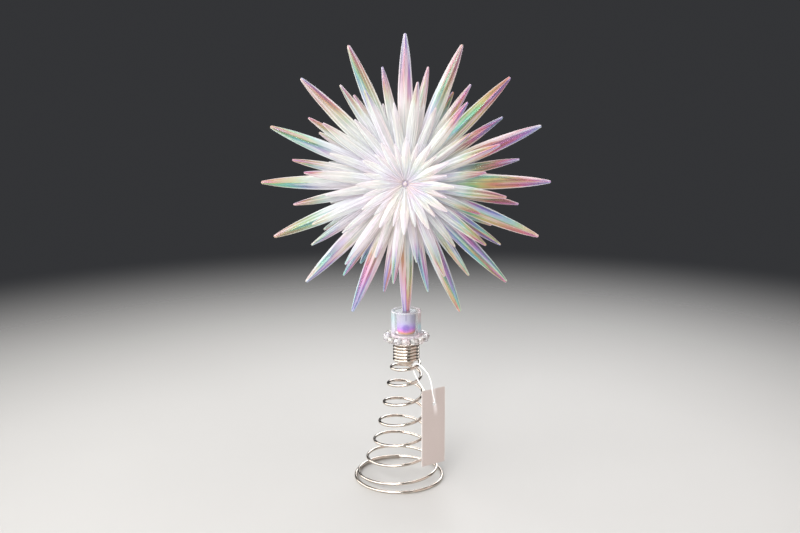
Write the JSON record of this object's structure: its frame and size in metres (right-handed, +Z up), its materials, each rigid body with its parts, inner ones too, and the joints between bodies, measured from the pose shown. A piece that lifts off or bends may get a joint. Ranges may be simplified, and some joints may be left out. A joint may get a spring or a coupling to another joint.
{
  "type": "tree topper",
  "caption": "Starburst tree topper of clear iridescent spikes, standing in a beaded cup on a conical wire spring, with a blank hang tag.",
  "frame": {"origin": "on the floor, below the middle of the star", "axes": "+Z up along the star's lowest spike, +X to the right, -Y out of the star's front"},
  "size_m": [0.2176, 0.072, 0.3444],
  "materials": {
    "star_plastic": "clear with an iridescent coating",
    "cup_plastic": "clear with an iridescent coating",
    "bead_plastic": "clear, faceted",
    "pin_plastic": "milky",
    "bead_wire_steel": "bright",
    "spring_wire": "nickel plated, bright",
    "loop_plastic": "translucent",
    "tag_card": "coated card, blank"
  },
  "bodies": {
    "foot": {"base_ring": "spring_wire", "cone_lower": "spring_wire"},
    "waist": {"cone_middle": "spring_wire"},
    "neck": {"cone_upper": "spring_wire"},
    "grip": {"grip_coil": "spring_wire"},
    "head": {"peg": "pin_plastic", "cup": "cup_plastic", "spike_socket": "cup_plastic", "beads": "bead_plastic", "bead_wire": "bead_wire_steel", "rim_star": "star_plastic", "front_rosette": "star_plastic", "back_rosette": "star_plastic", "front_heart": "star_plastic", "back_heart": "star_plastic", "centre_pin": "pin_plastic", "pin_cap": "pin_plastic"},
    "loop": {"tag_loop": "loop_plastic", "loop_lock": "loop_plastic"},
    "tag": {"hang_tag": "tag_card"}
  },
  "joints": [
    {"name": "spring_lean", "type": "hinge", "parent": "foot", "child": "waist", "pos_m": [0, 0, 0.0185], "axis": [0, 1, 0], "range_deg": [-6, 6], "stiffness_Nm_per_rad": 1.5, "deforming": ["cone_lower"]},
    {"name": "spring_nod", "type": "hinge", "parent": "waist", "child": "neck", "pos_m": [0, 0, 0.02], "axis": [1, 0, 0], "range_deg": [-6, 6], "stiffness_Nm_per_rad": 1.5, "deforming": ["cone_middle"]},
    {"name": "spring_press", "type": "slide", "parent": "neck", "child": "grip", "axis": [0, 0, 1], "range_m": [-0.005, 0.006], "stiffness_N_per_m": 400, "springref_m": 0.00389, "deforming": ["cone_upper"]},
    {"name": "head_turn", "type": "hinge", "parent": "grip", "child": "head", "pos_m": [0, 0, 0.1], "axis": [0, 0, 1], "continuous": true},
    {"name": "loop_swing", "type": "hinge", "parent": "grip", "child": "loop", "pos_m": [0.00688, -0.00831, 0.0926], "axis": [-0.7659, -0.6429, 0], "range_deg": [0, 35]},
    {"name": "tag_swing", "type": "hinge", "parent": "loop", "child": "tag", "pos_m": [0.02154, -0.01272, 0.0659], "axis": [-0.8329, -0.5534, 0], "range_deg": [0, 18]}
  ]
}
